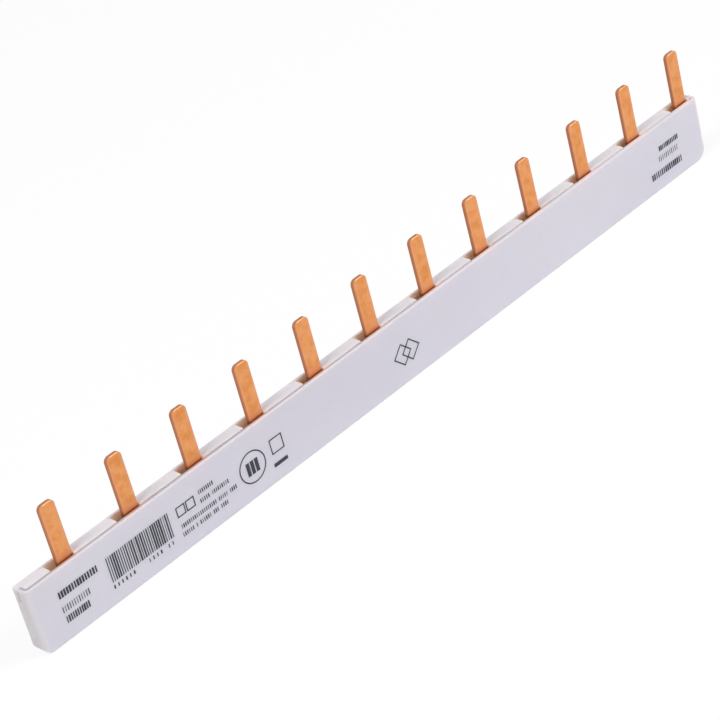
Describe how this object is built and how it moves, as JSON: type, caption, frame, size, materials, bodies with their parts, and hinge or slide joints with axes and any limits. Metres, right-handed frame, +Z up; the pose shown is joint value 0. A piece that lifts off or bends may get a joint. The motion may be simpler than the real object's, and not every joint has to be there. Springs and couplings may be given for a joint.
{
  "type": "comb busbar",
  "caption": "Flat insulated busbar with a row of flat copper pins along its top edge, for linking the terminals of devices that stand side by side in a distribution board.",
  "frame": {"origin": "middle of the bottom edge that the bar stands on", "axes": "+X runs along the bar towards the end where the last pin is close to the end, +Y points from the front face to the back, +Z points up along the pins"},
  "size_m": [0.214, 0.0046, 0.0291],
  "materials": {
    "housing": "light grey moulded plastic, soft gloss",
    "copper": "bare copper, lightly tarnished"
  },
  "bodies": {
    "root": {"copper_comb": "copper", "front_shell": "housing", "rear_shell": "housing"}
  },
  "joints": []
}
